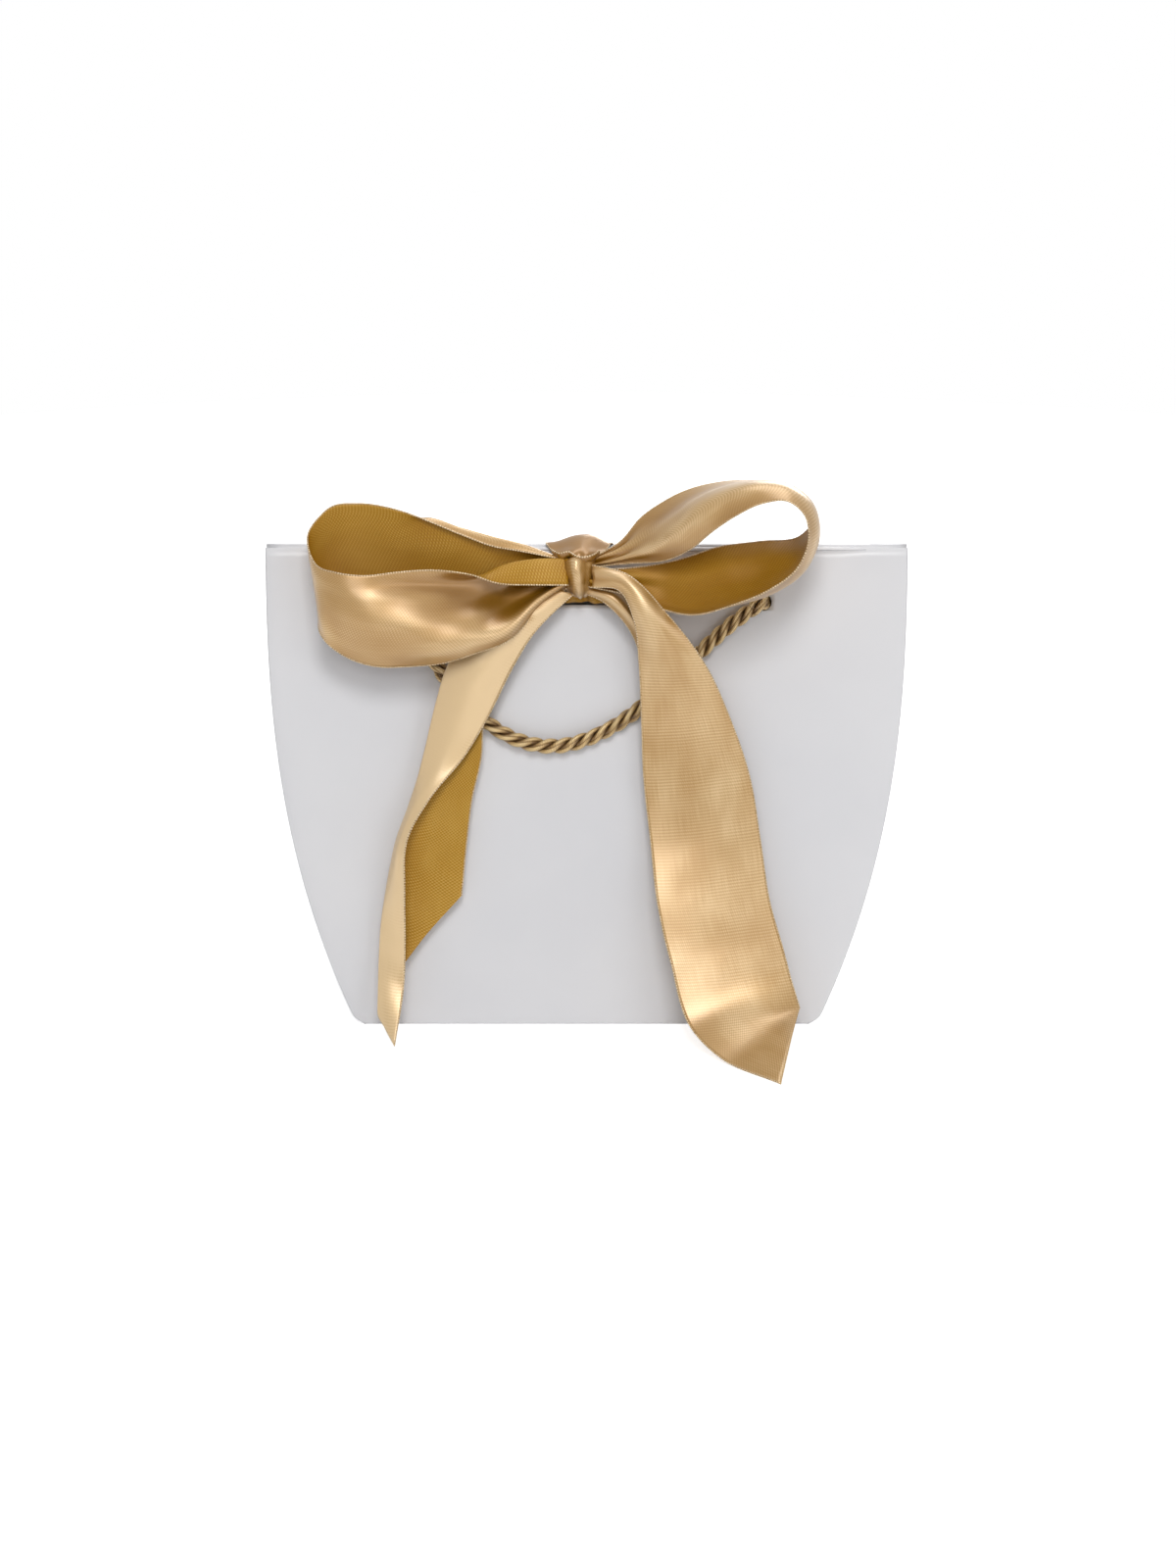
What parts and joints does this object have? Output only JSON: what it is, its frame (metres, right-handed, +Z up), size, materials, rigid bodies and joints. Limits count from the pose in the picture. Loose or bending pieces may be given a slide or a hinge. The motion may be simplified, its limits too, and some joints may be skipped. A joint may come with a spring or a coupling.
{
  "type": "gift bag",
  "caption": "Flared paper-board gift bag whose mouth is tied shut by a wide satin ribbon bow, with twisted rope handles that swing up for carrying.",
  "frame": {"origin": "centre of the bag's base, on the underside that it stands on", "axes": "+Z up, -Y out of the front panel that carries the bow, +X to the right of someone facing the front"},
  "size_m": [0.2808, 0.158, 0.2374],
  "materials": {
    "white_card": "white laminated art card with a soft satin sheen",
    "stiff_board": "plain grey board",
    "gold_rope": "lustrous twisted rayon cord in old gold",
    "gold_satin": "champagne gold double-face satin with fine woven edges"
  },
  "bodies": {
    "bag": {"front_panel": "white_card", "back_panel": "white_card", "left_gusset_front_half": "white_card", "left_gusset_back_half": "white_card", "right_gusset_front_half": "white_card", "right_gusset_back_half": "white_card", "base_front_flap": "white_card", "base_back_flap": "white_card", "base_left_flap": "white_card", "base_right_flap": "white_card", "base_card": "stiff_board", "front_top_hem": "white_card", "back_top_hem": "white_card", "front_reinforcement": "stiff_board", "back_reinforcement": "stiff_board", "side_glue_tab": "white_card", "front_left_stop_knot": "gold_rope", "front_right_stop_knot": "gold_rope", "back_left_stop_knot": "gold_rope", "back_right_stop_knot": "gold_rope", "ribbon_slot_band": "gold_satin", "ribbon_top_wrap": "gold_satin", "bow_knot": "gold_satin", "bow_left_loop": "gold_satin", "bow_right_loop": "gold_satin", "bow_left_tail": "gold_satin", "bow_right_tail": "gold_satin"},
    "front_handle": {"front_handle_rope": "gold_rope"},
    "back_handle": {"back_handle_rope": "gold_rope"}
  },
  "joints": [
    {"name": "front_handle_swing", "type": "hinge", "parent": "bag", "child": "front_handle", "pos_m": [0, -0.01204, 0.18462], "axis": [-1, 0, 0], "range_deg": [0, 174], "deforming": ["bow_left_loop", "bow_right_loop", "bow_left_tail", "bow_right_tail"]},
    {"name": "back_handle_swing", "type": "hinge", "parent": "bag", "child": "back_handle", "pos_m": [0, 0.01204, 0.18462], "axis": [1, 0, 0], "range_deg": [0, 174]}
  ]
}
